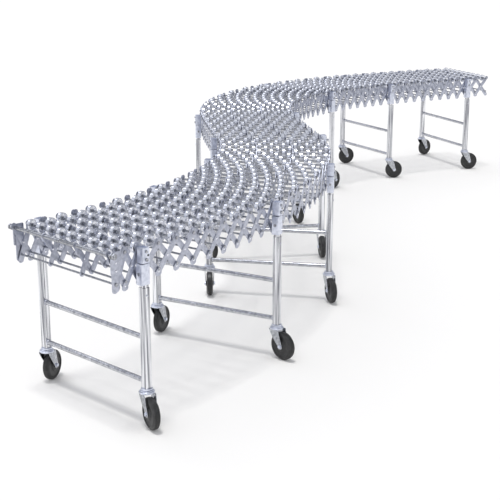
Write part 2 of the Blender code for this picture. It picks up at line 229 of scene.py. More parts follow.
# Each edge of the strip is soft: no light at the first value of a pair, full light at the second.
for way, outside, inside in (
        (STRIP_SIDEWAYS, -STRIP_HALF_WIDTH[0], -STRIP_HALF_WIDTH[1]),
        (opposite(STRIP_SIDEWAYS), -STRIP_HALF_WIDTH[0], -STRIP_HALF_WIDTH[1]),
        (STRIP_LENGTHWAYS, STRIP_START[0], STRIP_START[1]),
        (opposite(STRIP_LENGTHWAYS), -STRIP_END[0], -STRIP_END[1])):
    edge = node(tree, "ShaderNodeMapRange", Value=how_far(way))
    edge.inputs["From Min"].default_value = outside
    edge.inputs["From Max"].default_value = inside
    strip = node(tree, "ShaderNodeMath", {"operation": "MULTIPLY"}, i0=strip.outputs[0], i1=edge.outputs[0])
level = node(tree, "ShaderNodeMath", {"operation": "ADD"}, i0=side_level.outputs[0], i1=strip.outputs[0])
sky = node(tree, "ShaderNodeBackground", Color=ramp.outputs[0], Strength=level.outputs[0])
backdrop = node(tree, "ShaderNodeBackground", Color=linear(WHITE), Strength=1.0)
camera_ray = node(tree, "ShaderNodeLightPath").outputs["Is Camera Ray"]
mixed = node(tree, "ShaderNodeMixShader", i0=camera_ray, i1=sky.outputs[0], i2=backdrop.outputs[0])
node(tree, "ShaderNodeOutputWorld", Surface=mixed.outputs[0])

SUN_STRENGTH = 1.43
SUN_SIZE = 8.5
SUN_LEAN = Vector((0.07, 0.07, -1.0))
bpy.ops.object.light_add(type="SUN", location=(-0.5, -0.5, 6.0))
sun = bpy.context.object
sun.name = "overhead_lamp"
sun.data.energy = SUN_STRENGTH
sun.data.angle = math.radians(SUN_SIZE)
sun.rotation_euler = SUN_LEAN.to_track_quat("-Z", "Y").to_euler()

bpy.context.scene.view_settings.view_transform = "Standard"

# Skate wheels
# Nine wheels stand on each axle but the end one. Each is two pressed steel shells over a bearing, with
# a rolled rim and dished sides, in bright zinc plate. Every other axle is turned end for end.
COLUMN_OFFSET = 0.285
WHEELS_PER_ROW = 9
FIRST_WHEEL = 0.016
SKATE_RADIUS = 0.024
SKATE_WIDTH = 0.018
SKATE_TREAD = 0.0125
SKATE_SIDES = 12
SHOULDER_RADIUS = 0.0205
DISH_DEPTH = 0.0035
HUB_FACE_RADIUS = 0.0095
ACROSS = (math.radians(90), 0, 0)
CLOUD_STOPS = (0.36, 0.62)
GLOSS_SPREAD = 0.25


# The clouds are drawn 4 to 16 mm wide. The real bloom of the plate is finer and wouldn't show.
def zinc_plate(name, light, dark, roughness, grain_mm, relief_mm=0.03):
    """Zinc plate on steel: a cool white metal, faintly clouded where the bath left it uneven."""
    made = bpy.data.materials.new(name)
    made.use_nodes = True
    tree = made.node_tree
    shader = tree.nodes["Principled BSDF"]
    spot = node(tree, "ShaderNodeTexCoord")
    grain = 1000 / grain_mm
    cloud = node(tree, "ShaderNodeTexNoise", Vector=spot.outputs["Object"], Scale=grain, Detail=3.0)
    tone = node(tree, "ShaderNodeValToRGB", Fac=cloud.outputs[0])
    for stop, share, colour in zip(tone.color_ramp.elements, CLOUD_STOPS, (dark, light)):
        stop.position = share
        stop.color = linear(colour)
    gloss = node(tree, "ShaderNodeMapRange", Value=cloud.outputs[0])
    gloss.inputs["To Min"].default_value = roughness * (1 - GLOSS_SPREAD)
    gloss.inputs["To Max"].default_value = roughness * (1 + GLOSS_SPREAD)
    bump = node(tree, "ShaderNodeBump", Height=cloud.outputs[0], Strength=0.5, Distance=relief_mm / 1000)
    tree.links.new(tone.outputs[0], shader.inputs["Base Color"])
    tree.links.new(gloss.outputs[0], shader.inputs["Roughness"])
    tree.links.new(bump.outputs[0], shader.inputs["Normal"])
    shader.inputs["Metallic"].default_value = 1.0
    return made


# Bright plate on thin pressed steel takes sharp white spots. The hub face over the bearing is a duller,
# darker grey: partly the bearing's oiled seal, partly painted shade in the sunk hub.
wheel_zinc = zinc_plate(
    "pressed_wheel_zinc", "#ECEEF5", "#D8DBE4", roughness=0.22, grain_mm=7, relief_mm=0.01)
bearing_and_hub_shade = zinc_plate(
    "bearing_seal_and_painted_hub_shade", "#B4B7BF", "#8E9199", roughness=0.32, grain_mm=5, relief_mm=0.02)


def alone(piece, mode="EDIT"):
    """Puts one piece alone in a mode with everything in it selected."""
    if bpy.context.mode != "OBJECT":
        bpy.ops.object.mode_set(mode="OBJECT")
    bpy.ops.object.select_all(action="DESELECT")
    piece.select_set(True)
    bpy.context.view_layer.objects.active = piece
    if mode == "EDIT":
        bpy.ops.object.mode_set(mode="EDIT")
        bpy.ops.mesh.select_mode(type="FACE")
        bpy.ops.mesh.select_all(action="SELECT")


def pick_faces(piece, test):
    """Selects the faces of a piece in edit mode whose centre and normal pass a test."""
    bpy.ops.mesh.select_all(action="DESELECT")
    shape = bmesh.from_edit_mesh(piece.data)
    for face in shape.faces:
        face.select = test(face.calc_center_median(), face.normal)
    shape.select_flush_mode()
    bmesh.update_edit_mesh(piece.data)


def turned(name, sides, radius, width, steps, axis="Y", smooth_below=40):
    """A turned piece: its middle land, then both ends drawn out or in to (way out, new radius)."""
    lying = ACROSS if axis == "Y" else (0, 0, 0)
    bpy.ops.mesh.primitive_cylinder_add(vertices=sides, radius=radius, depth=width, rotation=lying)
    piece = bpy.context.object
    piece.name = name
    alone(piece)
    pick_faces(piece, lambda centre, normal: abs(normal.z) > 0.9)
    for way, new_radius in steps:
        share = new_radius / radius
        bpy.ops.mesh.extrude_region_shrink_fatten(TRANSFORM_OT_shrink_fatten={"value": way})
        size = (share, 1, share) if axis == "Y" else (share, share, 1)
        bpy.ops.transform.resize(value=size, center_override=(0, 0, 0))
        radius = new_radius
    return done(piece, smooth_below)


def done(piece, smooth_below=40):
    """Leaves edit mode, fixes the place in the mesh and shades the soft edges smooth."""
    if bpy.context.mode != "OBJECT":
        bpy.ops.object.mode_set(mode="OBJECT")
    bpy.ops.object.transform_apply(location=True, rotation=True, scale=True)
    bpy.ops.object.shade_smooth_by_angle(angle=math.radians(smooth_below))
    return piece


def set_out(name, pattern, places):
    """One piece made of copies of a pattern's mesh, set at each of the places."""
    joined = bmesh.new()
    for spot in places:
        mesh = pattern.data.copy()
        mesh.transform(spot)
        joined.from_mesh(mesh)
        bpy.data.meshes.remove(mesh)
    mesh = bpy.data.meshes.new(name)
    joined.to_mesh(mesh)
    joined.free()
    for skin in pattern.data.materials:
        mesh.materials.append(skin)
    piece = bpy.data.objects.new(name, mesh)
    bpy.context.collection.objects.link(piece)
    return piece


def joined_as(name, pieces):
    """Joins pieces into the first of them and names it."""
    alone(pieces[0], "OBJECT")
    for piece in pieces:
        piece.select_set(True)
    if len(pieces) > 1:
        bpy.ops.object.join()
    pieces[0].name = name
    return pieces[0]


def put_away(*patterns):
    for pattern in patterns:
        bpy.data.objects.remove(pattern, do_unlink=True)


def move(x=0.0, y=0.0, z=0.0):
    return Matrix.Translation((x, y, z))


def wheel_offsets(row):
    """Places of the wheels across a row, the other way round on every other axle."""
    gap = 2 * COLUMN_OFFSET / WHEELS_PER_ROW
    turned_round = 1 if row % 2 == 0 else -1
    return [turned_round * (-COLUMN_OFFSET + FIRST_WHEEL + gap * k) for k in range(WHEELS_PER_ROW)]


def zone(item):
    """The two bodies that a step of a span lies between, the steps before it there, and their number."""
    number, step, steps = item["span"], item["step"], item["steps"]
    slide_steps = (steps + 1) // 2
    if step < slide_steps:
        return "support_%d" % number, "span_%d" % number, step, slide_steps
    return "span_%d" % number, "support_%d" % (number + 1), step - slide_steps, steps - slide_steps


def ride_row(piece, row):
    """A row keeps its shape. End and leg rows ride their support, the row at the middle of a span rides the
    span, and the others are fixed where they lie.
    """
    item = rows[row]
    if item["kind"] != "span":
        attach(piece, "support_%d" % max(item["span"], 1))
        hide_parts({"near": "bed_near_end", "far": "bed_far_end"}.get(
            item["kind"], "support_%d" % item["span"]))
        return
    body, next_body, step, steps = zone(item)
    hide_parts("bed_span_%d" % item["span"])
    if step == 0:
        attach(piece, body)
        return
    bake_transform(piece)


shoulder = (SKATE_WIDTH - SKATE_TREAD) / 2
skate = turned("skate_wheel_pattern", SKATE_SIDES, SKATE_RADIUS, SKATE_TREAD, (
    (shoulder, SHOULDER_RADIUS), (-DISH_DEPTH, HUB_FACE_RADIUS)))
skate.data.materials.append(wheel_zinc)
skate.data.materials.append(bearing_and_hub_shade)
# The faces at the middle of each hub take the darker grey: the bearing's seal with painted shade over it.
for face in skate.data.polygons:
    if math.hypot(face.center.x, face.center.z) < HUB_FACE_RADIUS / 2:
        face.material_index = 1
for row in range(1, len(rows)):
    place = rows[row]["place"] @ move(z=AXLE_HEIGHT)
    piece = set_out("skate_wheels_%02d" % row, skate, [place @ move(y=left) for left in wheel_offsets(row)])
    ride_row(piece, row)
put_away(skate)

# Axles, spacer tubes and tie rods
# A thin axle runs through the tops of the links, with spacer tubes that keep the wheels apart and a
# nut on each end. A tie rod hangs straight below it through the foot of the links.
COLUMNS = tuple(COLUMN_OFFSET * share for share in (1, 1 / 3, -1 / 3, -1))
LINK_LENGTHS = (0.146, 0.1322, 0.1322, 0.146)
LINK_SHEET = 0.0026
LINK_LAYER = 0.0015
AXLE_RADIUS = 0.0042
SPACER_RADIUS = 0.0050
TIE_RADIUS = 0.0044
TIE_END = 0.2905
AXLE_END = 0.293
NUT_RADIUS = 0.0078
NUT_DEPTH = 0.003
SMALL_NUT = 0.8
RIVET_RADIUS = 0.0052
RIVET_LENGTH = 0.0062
ROD_SIDES = 8
END_STRIP_AHEAD = 0.022
# Rods, sleeves, nuts and bolts take a darker copy of the plate than the wheels: painted shade.
rod_zinc_with_painted_shade = zinc_plate("rod_zinc_painted_shade", "#B4B6BB", "#8C8E94", roughness=0.24, grain_mm=9)


def top_pivot(row, column):
    return rows[row]["place"] @ Vector((0, COLUMNS[column], AXLE_HEIGHT))


def row_drop(row, column):
    """How far a lower pivot hangs below its axle, as the mean of the bays before and after it."""
    drops = []
    for bay in (max(row - 1, 0), min(row, len(rows) - 2)):
        reach = (top_pivot(bay + 1, column) - top_pivot(bay, column)).length
        drops.append(math.sqrt(LINK_LENGTHS[column] ** 2 - reach ** 2))
    return sum(drops) / len(drops)


def low_pivot(row, column):
    ahead = END_STRIP_AHEAD if row == 0 else 0
    return rows[row]["place"] @ Vector((ahead, COLUMNS[column], AXLE_HEIGHT - row_drop(row, column)))


def spans_between(offsets):
    """Stretches of a spacer tube between the wheels and the inner links, as (middle, length)."""
    stops = [(-COLUMN_OFFSET, -COLUMN_OFFSET + 2 * LINK_SHEET),
             (COLUMN_OFFSET - 2 * LINK_SHEET, COLUMN_OFFSET)]
    stops += [(left - SKATE_WIDTH / 4, left + SKATE_WIDTH / 4) for left in offsets]
    stops += [(left - 2 * LINK_LAYER, left + 2 * LINK_LAYER) for left in COLUMNS[1:3]]
    stops.sort()
    return [
        ((first[1] + second[0]) / 2, second[0] - first[1]) for first, second in zip(stops, stops[1:])]


def rod_pattern(name, radius):
    """A rod one metre long across the bed, to be set out at its real length."""
    piece = turned(name, ROD_SIDES, radius, 1.0, ())
    piece.data.materials.append(rod_zinc_with_painted_shade)
    return piece


rod = rod_pattern("axle_pattern", AXLE_RADIUS)
tube = rod_pattern("spacer_pattern", SPACER_RADIUS)
tie = rod_pattern("tie_rod_pattern", TIE_RADIUS)
nut = turned(
    "nut_pattern", sides=6, radius=NUT_RADIUS, width=NUT_DEPTH, steps=((0.0006, 0.0068),), smooth_below=20)
nut.data.materials.append(rod_zinc_with_painted_shade)
rivet = turned(
    "rivet_pattern", sides=8, radius=RIVET_RADIUS, width=RIVET_LENGTH, steps=((0.0009, 0.0034),))
rivet.data.materials.append(wheel_zinc)


def stretched(length):
    return Matrix.Diagonal((1, length, 1, 1))


for row in range(1, len(rows)):
    place = rows[row]["place"] @ move(z=AXLE_HEIGHT)
    parts = [set_out("axle", rod, [place @ stretched(2 * AXLE_END)])]
    gaps = spans_between(wheel_offsets(row))
    parts.append(set_out("spacers", tube, [
        place @ move(y=middle) @ stretched(length) for middle, length in gaps]))
    if rows[row]["kind"] != "leg":
        parts.append(set_out("nuts", nut, [
            place @ move(y=side * (AXLE_END - NUT_DEPTH)) for side in (1, -1)]))
    drop = (row_drop(row, 1) + row_drop(row, 2)) / 2
    low = place @ move(z=-drop)
    parts.append(set_out("tie", tie, [low @ stretched(2 * TIE_END)]))
    parts.append(set_out("tie_nuts", nut, [
        low @ move(y=side * TIE_END) @ Matrix.Scale(SMALL_NUT, 4) for side in (1, -1)]))
    ahead = rows[row]["place"].to_3x3().to_4x4()
    parts.append(set_out("rivets", rivet, [
        Matrix.Translation(low_pivot(row, column)) @ ahead for column in (0, 3)]))
    piece = joined_as("axle_row_%02d" % row, parts)
    ride_row(piece, row)

# Links
# Flat steel strips with round ends, pressed out and zinc plated, cross in pairs in four columns. They
# pivot on the axles at the top, on rods or rivets below and on a rivet where they cross.
LINK_WIDTHS = (0.0255, 0.0235, 0.0235, 0.0255)
LINK_OVERHANGS = (0.008, 0.0, 0.0, 0.008)
LINK_END_SIDES = 16
LINK_EDGE = 0.0014
# The strips are plated in a barrel, where they rub, so their faces are soft and cloudy.
link_zinc = zinc_plate(
    "link_zinc_plate", "#C4C7D3", "#AAAEBB", roughness=0.40, grain_mm=14, relief_mm=0.02)


def link_pattern(name, length, width, overhang):
    """A strip with round ends, its edges dressed by the press, lying along X."""
    bpy.ops.mesh.primitive_circle_add(
        vertices=LINK_END_SIDES, radius=width / 2, fill_type="NGON", rotation=ACROSS)
    piece = bpy.context.object
    piece.name = name
    alone(piece)
    bpy.ops.transform.rotate(value=math.pi / LINK_END_SIDES, orient_axis="Y", center_override=(0, 0, 0))
    bpy.ops.object.mode_set(mode="OBJECT")
    bpy.ops.object.transform_apply(location=True, rotation=True, scale=True)
    for corner in piece.data.vertices:
        corner.co.x += math.copysign(length / 2 + overhang, corner.co.x)
    alone(piece)
    bpy.ops.mesh.extrude_region_move(TRANSFORM_OT_translate={"value": (0, LINK_SHEET * 0.6, 0)})
    bpy.ops.mesh.select_all(action="SELECT")
    bpy.ops.transform.translate(value=(0, -LINK_SHEET * 0.3, 0))
    bpy.ops.mesh.normals_make_consistent(inside=False)
    pick_faces(piece, lambda centre, normal: abs(normal.y) > 0.9)
    bpy.ops.mesh.inset(thickness=LINK_EDGE, depth=LINK_SHEET * 0.2, use_even_offset=True)
    done(piece)
    piece.data.materials.append(link_zinc)
    return piece


outer_link = link_pattern("outer_link_pattern", LINK_LENGTHS[0], LINK_WIDTHS[0], LINK_OVERHANGS[0])
inner_link = link_pattern("inner_link_pattern", LINK_LENGTHS[1], LINK_WIDTHS[1], LINK_OVERHANGS[1])
link_patterns = (outer_link, inner_link, inner_link, outer_link)


def link_place(start, end, column, aside):
    """Frame of a link between two pivots, in the sheet's own layer beside the column's middle."""
    run = end - start
    side = Vector((0, 0, 1)).cross(run).normalized()
    up = run.normalized().cross(side)
    turn = Matrix((run.normalized(), side, up)).transposed().to_4x4()
    stretch = Matrix.Diagonal((run.length / LINK_LENGTHS[column], 1, 1, 1))
    return Matrix.Translation((start + end) / 2 + side * aside) @ turn @ stretch


def ride_bay(piece, bay):
    """A bay's links reach from one row to the next. End bays ride their support; the others are fixed where
    they lie.
    """
    item = rows[bay]
    if item["kind"] in ("near", "far") or item["span"] == LEG_SETS:
        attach(piece, "support_1" if item["kind"] == "near" else "support_%d" % LEG_SETS)
        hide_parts("bed_near_end" if item["kind"] == "near" else "bed_far_end")
        return
    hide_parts("bed_span_%d" % item["span"])
    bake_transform(piece)


for bay in range(len(rows) - 1):
    ahead = rows[bay]["place"].to_3x3().to_4x4()
    parts, rivets = [], []
    for column, pattern in enumerate(link_patterns):
        parts.append(set_out("links", pattern, [
            link_place(top_pivot(bay, column), low_pivot(bay + 1, column), column, LINK_LAYER),
            link_place(low_pivot(bay, column), top_pivot(bay + 1, column), column, -LINK_LAYER)]))
        crossing = (top_pivot(bay, column) + low_pivot(bay + 1, column)) / 2
        rivets.append(Matrix.Translation(crossing) @ ahead)
    parts.append(set_out("rivets", rivet, rivets))
    piece = joined_as("links_bay_%02d" % bay, parts)
    ride_bay(piece, bay)

# Near end
# The bed ends in an axle without wheels, on which two loose sleeves turn, with a nut on each end. An
# end plate hangs from it at each side, with an upright strip below that holds the first tie rod.
END_AXLE_RADIUS = 0.0062
SLEEVE_RADIUS = 0.0078
SLEEVE_END = 0.281
SLEEVE_GAP = 0.001
SLEEVE_CHAMFER = 0.001
END_AXLE_REACH = 0.318
END_NUT_RADIUS = 0.0125
END_NUT_DEPTH = 0.006
END_NUT_SPOTS = (0.300, 0.312)
end_place = rows[0]["place"] @ move(z=AXLE_HEIGHT)
end_rod = turned(
    "end_axle_pattern", sides=14, radius=END_AXLE_RADIUS, width=2 * END_AXLE_REACH,
    steps=((0.0015, 0.0050),))
end_rod.data.materials.append(rod_zinc_with_painted_shade)
end_nut = turned(
    "end_nut_pattern", sides=6, radius=END_NUT_RADIUS, width=END_NUT_DEPTH, steps=((0.001, 0.0110),),
    smooth_below=20)
end_nut.data.materials.append(rod_zinc_with_painted_shade)
piece = joined_as("end_axle", [
    set_out("rod", end_rod, [end_place]),
    set_out("nuts", end_nut, [
        end_place @ move(y=side * spot) for side in (1, -1) for spot in END_NUT_SPOTS])])
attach(piece, "support_1")
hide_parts("near_end_axle")

sleeve_length = SLEEVE_END - SLEEVE_GAP
sleeve = turned(
    "sleeve_pattern", sides=16, radius=SLEEVE_RADIUS, width=sleeve_length - 2 * SLEEVE_CHAMFER,
    steps=((SLEEVE_CHAMFER, SLEEVE_RADIUS - 0.0006), (0.0, END_AXLE_RADIUS + 0.0003)))
sleeve.data.materials.append(rod_zinc_with_painted_shade)
for side_name, side in (("left", 1), ("right", -1)):
    middle = side * (SLEEVE_GAP + sleeve_length / 2)
    piece = set_out("end_sleeve_" + side_name, sleeve, [end_place @ move(y=middle)])
    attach(piece, "near_skate_wheel_" + side_name)
    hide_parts("near_skate_wheel_" + side_name)

END_PLATE = (0.050, 0.003, 0.086)
END_PLATE_TOP = 0.708
END_STRIP_WIDTH = 0.038
END_STRIP_LOW = 0.553
END_STRIP_TOP = 0.672
PLATE_OUT = 0.2942
STRIP_OUT = 0.2900
END_TIE_REACH = 0.2945
END_FIXING_OUT = 0.2935
END_PLATE_RIM = 0.0012
END_PLATE_SWELL = 0.0004
END_RIVET_DROPS = (0.030, 0.060)
END_PLATE_CORNER = 0.007


def round_edges(piece, axis, round_by):
    """Rounds the edges of a block that run along one axis."""
    bpy.ops.mesh.select_mode(type="EDGE")
    bpy.ops.mesh.select_all(action="DESELECT")
    shape = bmesh.from_edit_mesh(piece.data)
    for edge in shape.edges:
        edge.select = abs((edge.verts[0].co - edge.verts[1].co).normalized()[axis]) > 0.9
    bmesh.update_edit_mesh(piece.data)
    bpy.ops.mesh.bevel(offset=round_by, segments=3)
    bpy.ops.mesh.select_mode(type="FACE")


bpy.ops.mesh.primitive_cube_add(size=1)
end_plate = bpy.context.object
alone(end_plate)
bpy.ops.transform.resize(value=END_PLATE)
bpy.ops.transform.translate(value=(0, 0, END_PLATE_TOP - END_PLATE[2] / 2 - AXLE_HEIGHT))
round_edges(end_plate, 1, END_PLATE_CORNER)
pick_faces(end_plate, lambda centre, normal: abs(normal.y) > 0.9)
bpy.ops.mesh.inset(thickness=END_PLATE_RIM, depth=END_PLATE_SWELL, use_even_offset=True)
done(end_plate)
end_plate.data.materials.append(link_zinc)
strip_length = END_STRIP_TOP - END_STRIP_LOW - END_STRIP_WIDTH
end_strip = link_pattern("end_strip_pattern", strip_length, END_STRIP_WIDTH, 0.0)
upright = Matrix.Rotation(math.radians(90), 4, "Y")
strip_middle = (END_STRIP_TOP + END_STRIP_LOW) / 2 - AXLE_HEIGHT
end_drop = row_drop(0, 1)
hanging = end_place @ move(x=END_STRIP_AHEAD)
parts = [
    set_out("plates", end_plate, [hanging @ move(y=side * PLATE_OUT) for side in (1, -1)]),
    set_out("strips", end_strip, [
        hanging @ move(y=side * STRIP_OUT, z=strip_middle) @ upright for side in (1, -1)]),
    set_out("rod", tie, [hanging @ move(z=-end_drop) @ stretched(2 * END_TIE_REACH)]),
    set_out("nuts", nut, [hanging @ move(y=side * END_FIXING_OUT, z=-end_drop) for side in (1, -1)]),
    set_out("rivets", rivet, [
        hanging @ move(y=side * END_FIXING_OUT, z=-drop) for side in (1, -1) for drop in END_RIVET_DROPS])]
piece = joined_as("near_end_plates", parts)
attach(piece, "support_1")
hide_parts("bed_near_end")
put_away(rod, tube, tie, outer_link, inner_link)
put_away(end_rod, end_nut, sleeve, end_plate, end_strip)

# Posts and brackets
# Two square steel posts slide in the stand below. Each carries a folded bracket that takes the end of
# one axle, with a socket under it, a bolt through its side and one through the socket.
first_left = Vector(joints["swivel_1_left"]["pos_m"])
first_right = Vector(joints["swivel_1_right"]["pos_m"])
POST_SPACING = (first_left - first_right).length
HALF = POST_SPACING / 2
INNER_TUBE = 0.0254
POST_BOTTOM = 0.210
BRACKET = (0.034, 0.034, 0.058)
BRACKET_TOP = 0.705
SOCKET = (0.040, 0.033, 0.080)
SOCKET_TOP = 0.644
SOCKET_BACK = -(SOCKET[0] - INNER_TUBE) / 2 + 0.004
SIDE_BOLT_HEIGHT = 0.660
SOCKET_BOLT = (-0.0225, 0.605)
HOLE = (0.009, 0.676)
BOLT_PROUD = 0.002
AXLE_NUT_DROP = 0.006
# Folded sheet is bright and smooth, the palest plate on the object.
bracket_zinc = zinc_plate(
    "folded_bracket_zinc", "#E2E6F2", "#C9CEDC", roughness=0.34, grain_mm=16, relief_mm=0.02)


def drawn_tube(name, light, dark, roughness, across_mm, along_mm):
    """Zinc on drawn tube: bright, with streaks along the tube, partly die lines and partly painted
    reflection in light and dark bands.
    """
    made = zinc_plate(name, light, dark, roughness, grain_mm=across_mm, relief_mm=0.01)
    tree = made.node_tree
    cloud = tree.nodes["Noise Texture"]
    spot = tree.nodes["Texture Coordinate"]
    longer = (1, 1, across_mm / along_mm)
    drawn = node(tree, "ShaderNodeMapping", Vector=spot.outputs["Object"], Scale=longer)
    tree.links.new(drawn.outputs[0], cloud.inputs["Vector"])
    return made


# The streaks are drawn 7 mm wide, a quarter of the tube, since real die lines are too fine to show. Their
# strong light and dark bands are painted reflection.
tube_zinc_with_painted_reflection = drawn_tube(
    "tube_zinc_die_lines_and_painted_reflection", "#F3F4F8", "#7A7C83", roughness=0.20, across_mm=7, along_mm=260)


def square_tube(name, skin, size, low, high, round_by, wall=0.0, lip=0.0):
    """A square tube with drawn round corners, standing up, open at its top by a lip's depth."""
    bpy.ops.mesh.primitive_cube_add(size=1)
    piece = bpy.context.object
    piece.name = name
    alone(piece)
    bpy.ops.transform.resize(value=(size[0], size[1], high - low))
    bpy.ops.transform.translate(value=(0, 0, (low + high) / 2))
    round_edges(piece, 2, round_by)
    if lip:
        pick_faces(piece, lambda centre, normal: normal.z > 0.9)
        bpy.ops.mesh.inset(thickness=wall, use_even_offset=True)
        bpy.ops.mesh.extrude_region_move(TRANSFORM_OT_translate={"value": (0, 0, -lip)})
    done(piece)
    piece.data.materials.append(skin)
    return piece


post = square_tube(
    "post_pattern", tube_zinc_with_painted_reflection, (INNER_TUBE, INNER_TUBE), POST_BOTTOM, SOCKET_TOP, round_by=0.003)
bracket = square_tube(
    "bracket_pattern", bracket_zinc, BRACKET[:2], BRACKET_TOP - BRACKET[2], BRACKET_TOP,
    round_by=0.0025, wall=0.003, lip=0.004)
socket = square_tube(
    "socket_pattern", bracket_zinc, SOCKET[:2], SOCKET_TOP - SOCKET[2], SOCKET_TOP,
    round_by=0.003, wall=0.003, lip=0.002)
bolt = turned(
    "bolt_pattern", sides=6, radius=0.0075, width=0.0045, steps=((0.0008, 0.0066),), smooth_below=20)
bolt.data.materials.append(rod_zinc_with_painted_shade)
hole = turned("hole_shade_disc_pattern", sides=12, radius=0.0042, width=0.0006, steps=())
# Each open bolt hole is a thin dark disc on the bracket's side. It is painted shade for the unlit inside of
# the bracket, nearly black and dull, with its tone varied by a fine noise.
HOLE_SHADE_NOISE_MM = 2.5
dark = bpy.data.materials.new("painted_hole_shade")
dark.use_nodes = True
tree = dark.node_tree
spot = node(tree, "ShaderNodeTexCoord")
hole_shade_noise = node(tree, "ShaderNodeTexNoise", Vector=spot.outputs["Object"], Scale=1000 / HOLE_SHADE_NOISE_MM)
ramp = node(tree, "ShaderNodeValToRGB", Fac=hole_shade_noise.outputs[0])
ramp.color_ramp.elements[0].color = linear("#1E1F22")
ramp.color_ramp.elements[1].color = linear("#3A3B3F")
tree.links.new(ramp.outputs[0], tree.nodes["Principled BSDF"].inputs["Base Color"])
tree.nodes["Principled BSDF"].inputs["Roughness"].default_value = 0.8
hole.data.materials.append(dark)
along_x = Matrix.Rotation(math.radians(90), 4, "Z")
for number, leg in enumerate(legs, 1):
    both = [leg @ move(y=side * HALF) for side in (1, -1)]
    piece = set_out("inner_posts_%d" % number, post, both)
    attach(piece, "support_%d" % number)
    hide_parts("support_%d" % number)
    outside = [leg @ move(y=side * (HALF + BRACKET[1] / 2 + BOLT_PROUD)) for side in (1, -1)]
    side_bolts = [spot @ move(z=SIDE_BOLT_HEIGHT) for spot in outside]
    socket_bolts = [spot @ move(x=SOCKET_BOLT[0], z=SOCKET_BOLT[1]) @ along_x for spot in both]
    parts = [
        set_out("brackets", bracket, both),
        set_out("sockets", socket, [spot @ move(x=SOCKET_BACK) for spot in both]),
        set_out("bolts", bolt, side_bolts + socket_bolts),
        set_out("axle_nuts", bolt, [
            spot @ move(z=AXLE_HEIGHT - AXLE_NUT_DROP) @ Matrix.Scale(SMALL_NUT, 4) for spot in outside]),
        set_out("holes", hole, [
            leg @ move(x=HOLE[0], y=side * (HALF + BRACKET[1] / 2), z=HOLE[1]) for side in (1, -1)])]
    piece = joined_as("brackets_%d" % number, parts)
    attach(piece, "support_%d" % number)
    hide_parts("support_%d" % number)
put_away(post, bracket, socket, hole)

# Stands
# Two square tubes, open at the top for the posts, are joined by two round rungs welded between them.
# Each ends in a collar over its caster's stem. A spring button locks the post at its height.
OUTER_TUBE = 0.030
TUBE_TOP = 0.552
RUNG_RADIUS = 0.010
RUNG_HEIGHTS = (0.180, 0.354)
STAND_BOTTOM = 0.148
COLLAR_RADIUS = 0.0225
COLLAR_SEAT = 0.0036
BUTTON_DROP = 0.030
RUNG_REACH = POST_SPACING - OUTER_TUBE
WELD_BEAD = 0.0022
WELD_OUT = RUNG_REACH / 2 - 0.0026
BUTTON_OUT = HALF + OUTER_TUBE / 2 + 0.001
# The rungs take a greyer copy of the plate than the tubes: painted shade.
rung_zinc_with_painted_shade = zinc_plate(
    "rung_zinc_painted_shade", "#D0D1D6", "#A6A8AE", roughness=0.24, grain_mm=12, relief_mm=0.02)
# A weld bead is lumpy under its plate, which breaks up what it mirrors.
weld_zinc = zinc_plate(
    "plated_weld", "#DADCE4", "#B9BCC6", roughness=0.34, grain_mm=4, relief_mm=0.3)
rung = turned("rung_pattern", sides=16, radius=RUNG_RADIUS, width=1.0, steps=())
rung.data.materials.append(rung_zinc_with_painted_shade)
weld = turned(
    "weld_pattern", sides=16, radius=RUNG_RADIUS + WELD_BEAD, width=0.0016,
    steps=((WELD_BEAD, RUNG_RADIUS + 0.0008),))
weld.data.materials.append(weld_zinc)
button = turned("spring_button_pattern", sides=12, radius=0.0040, width=0.003, steps=((0.0012, 0.0022),))
button.data.materials.append(wheel_zinc)
stand = square_tube(
    "stand_tube_pattern", tube_zinc_with_painted_reflection, (OUTER_TUBE, OUTER_TUBE), STAND_BOTTOM + 0.004, TUBE_TOP,
    round_by=0.0035, wall=0.002, lip=0.010)
collar = turned(
    "collar_pattern", sides=20, radius=COLLAR_RADIUS, width=0.005,
    steps=((0.0008, COLLAR_RADIUS - 0.002),), axis="Z")
collar.data.materials.append(bracket_zinc)
for number, leg in enumerate(legs, 1):
    both = [leg @ move(y=side * HALF) for side in (1, -1)]
    parts = [
        set_out("tubes", stand, both),
        set_out("rungs", rung, [
            leg @ move(z=height) @ stretched(RUNG_REACH) for height in RUNG_HEIGHTS]),
        set_out("welds", weld, [
            leg @ move(y=side * WELD_OUT, z=height) for height in RUNG_HEIGHTS for side in (1, -1)]),
        set_out("buttons", button, [
            leg @ move(y=side * BUTTON_OUT, z=TUBE_TOP - BUTTON_DROP) for side in (1, -1)]),
        set_out("collars", collar, [spot @ move(z=STAND_BOTTOM + COLLAR_SEAT) for spot in both])]
    piece = joined_as("stand_frame_%d" % number, parts)
    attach(piece, "stand_%d" % number)
    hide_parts("stand_%d" % number)
put_away(rung, weld, button, collar, stand)

# Caster forks
# Each fork is pressed from one sheet and zinc plated: a round swivel head over two side plates, which
# narrow to the wheel's bolt. The head turns on a ball race under the stand's collar.
CASTER_RADIUS = 0.0635
CASTER_TRAIL = 0.038
HEAD_RADIUS = 0.030
HEAD_HEIGHT = 0.014
FORK_SHEET = 0.003
HUB_LENGTH = 0.0354
SEAT_GAP = 0.0003
FOOT_RADIUS = 0.0135
FORK_HEAD_BACK = 0.030
FORK_HEAD_FRONT = -0.024
FORK_SPREAD = 0.004
FORK_EDGE = 0.0007
PLATE_GAP = 0.0002
PIN_RADIUS = 0.0038
# The fork plates take a darker grey copy of the plate than the brackets: painted shade.
fork_zinc_with_painted_shade = zinc_plate("fork_zinc_painted_shade", "#C6C9CE", "#9A9DA3", roughness=0.25, grain_mm=11)


